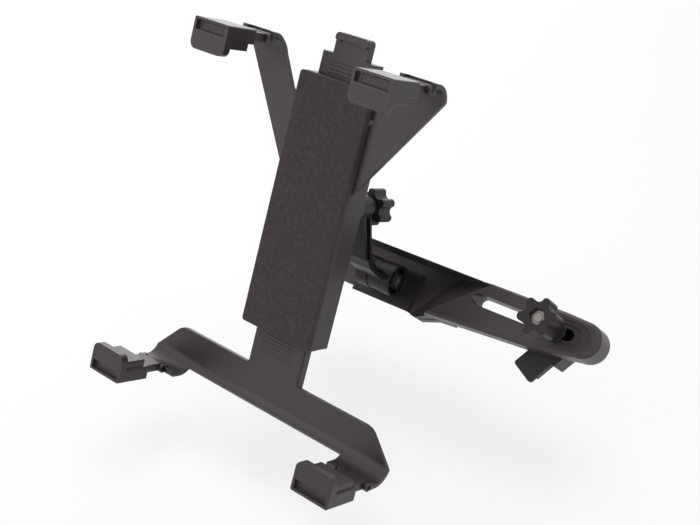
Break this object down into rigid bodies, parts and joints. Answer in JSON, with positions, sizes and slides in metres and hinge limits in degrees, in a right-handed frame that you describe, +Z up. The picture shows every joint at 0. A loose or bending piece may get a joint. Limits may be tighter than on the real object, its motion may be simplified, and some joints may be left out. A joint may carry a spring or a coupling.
{
  "type": "tablet holder",
  "caption": "Headrest tablet holder: folding corner grips on a sliding cradle, held by a tilting, swivelling arm on a slotted clamp bar with a knob-tightened jaw.",
  "frame": {"origin": "centre of the clamp bar's back face, between the two headrest posts", "axes": "+X along the clamp bar towards the slotted end, +Z up, -Y towards the viewer of the screen"},
  "size_m": [0.2951, 0.2269, 0.2604],
  "materials": {
    "foam": "matte",
    "grip_plastic": "satin",
    "tongue_plastic": "satin",
    "zinc_steel": "satin",
    "spring_steel": "satin",
    "rubber": "matte",
    "knob_plastic": "satin",
    "black_plastic": "satin"
  },
  "bodies": {
    "clamp_bar": {"headrest_bar": "black_plastic", "hinge_base": "black_plastic", "base_screws": "zinc_steel", "tilt_bolt": "zinc_steel", "tilt_nut": "zinc_steel", "hook_pad": "rubber"},
    "clamp_slider": {"clamp_washer": "zinc_steel"},
    "jaw": {"clamp_jaw": "black_plastic", "jaw_pad": "rubber", "clamp_bolt": "zinc_steel"},
    "clamp_knob": {"clamp_knob": "knob_plastic", "clamp_nut": "zinc_steel"},
    "arm": {"tilt_arm": "black_plastic", "swivel_washer": "zinc_steel"},
    "cradle": {"pad": "foam", "front_housing": "black_plastic", "rear_housing": "black_plastic", "detent_spring": "spring_steel", "housing_screws": "zinc_steel", "swivel_bolt": "zinc_steel", "hinge_pin_tl": "zinc_steel", "hinge_pin_tr": "zinc_steel"},
    "swivel_knob": {"swivel_knob": "knob_plastic"},
    "lower_bracket": {"lower_bracket": "black_plastic", "hinge_pin_bl": "zinc_steel", "hinge_pin_br": "zinc_steel"},
    "tongue_tl": {"tongue_tl": "tongue_plastic"},
    "grip_tl": {"grip_tl": "grip_plastic"},
    "tongue_tr": {"tongue_tr": "tongue_plastic"},
    "grip_tr": {"grip_tr": "grip_plastic"},
    "tongue_bl": {"tongue_bl": "tongue_plastic"},
    "grip_bl": {"grip_bl": "grip_plastic"},
    "tongue_br": {"tongue_br": "tongue_plastic"},
    "grip_br": {"grip_br": "grip_plastic"}
  },
  "joints": [
    {"name": "clamp_slide", "type": "slide", "parent": "clamp_bar", "child": "clamp_slider", "axis": [1, 0, 0], "range_m": [-0.0495, 0.0095]},
    {"name": "jaw_turn", "type": "hinge", "parent": "clamp_slider", "child": "jaw", "pos_m": [0.1465, -0.01117, 0.0202], "axis": [0, -0.7266, 0.6871], "range_deg": [-4, 28]},
    {"name": "clamp_knob_turn", "type": "hinge", "parent": "jaw", "child": "clamp_knob", "pos_m": [0.1465, -0.01117, 0.0202], "axis": [0, -0.7266, 0.6871], "continuous": true},
    {"name": "tilt", "type": "hinge", "parent": "clamp_bar", "child": "arm", "pos_m": [0, -0.01736, 0.01366], "axis": [1, 0, 0], "range_deg": [-10, 15]},
    {"name": "cradle_swivel", "type": "hinge", "parent": "arm", "child": "cradle", "pos_m": [0, -0.09686, 0.10252], "axis": [0, -0.9272, 0.3746], "continuous": true},
    {"name": "swivel_knob_turn", "type": "hinge", "parent": "cradle", "child": "swivel_knob", "pos_m": [0, -0.02454, 0.0733], "axis": [0, -0.9272, 0.3746], "continuous": true},
    {"name": "bracket_slide", "type": "slide", "parent": "cradle", "child": "lower_bracket", "axis": [0.0274, 0.3745, 0.9268], "range_m": [-0.0235, 0.0255]},
    {"name": "fold_tl", "type": "hinge", "parent": "cradle", "child": "tongue_tl", "pos_m": [-0.06325, -0.06681, 0.1996], "axis": [0.9996, -0.0103, -0.0254], "range_deg": [0, 80]},
    {"name": "grip_slide_tl", "type": "slide", "parent": "tongue_tl", "child": "grip_tl", "axis": [0, -0.9272, 0.3746], "range_m": [-0.008, 0.01]},
    {"name": "fold_tr", "type": "hinge", "parent": "cradle", "child": "tongue_tr", "pos_m": [0.0687, -0.06816, 0.19624], "axis": [0.9996, -0.0103, -0.0254], "range_deg": [0, 80]},
    {"name": "grip_slide_tr", "type": "slide", "parent": "tongue_tr", "child": "grip_tr", "axis": [0, -0.9272, 0.3746], "range_m": [-0.008, 0.01]},
    {"name": "fold_bl", "type": "hinge", "parent": "lower_bracket", "child": "tongue_bl", "pos_m": [-0.10005, -0.15955, -0.02996], "axis": [-0.9996, 0.0103, 0.0254], "range_deg": [0, 80]},
    {"name": "grip_slide_bl", "type": "slide", "parent": "tongue_bl", "child": "grip_bl", "axis": [0, -0.9272, 0.3746], "range_m": [-0.008, 0.01]},
    {"name": "fold_br", "type": "hinge", "parent": "lower_bracket", "child": "tongue_br", "pos_m": [0.09188, -0.16153, -0.03484], "axis": [-0.9996, 0.0103, 0.0254], "range_deg": [0, 80]},
    {"name": "grip_slide_br", "type": "slide", "parent": "tongue_br", "child": "grip_br", "axis": [0, -0.9272, 0.3746], "range_m": [-0.008, 0.01]}
  ]
}
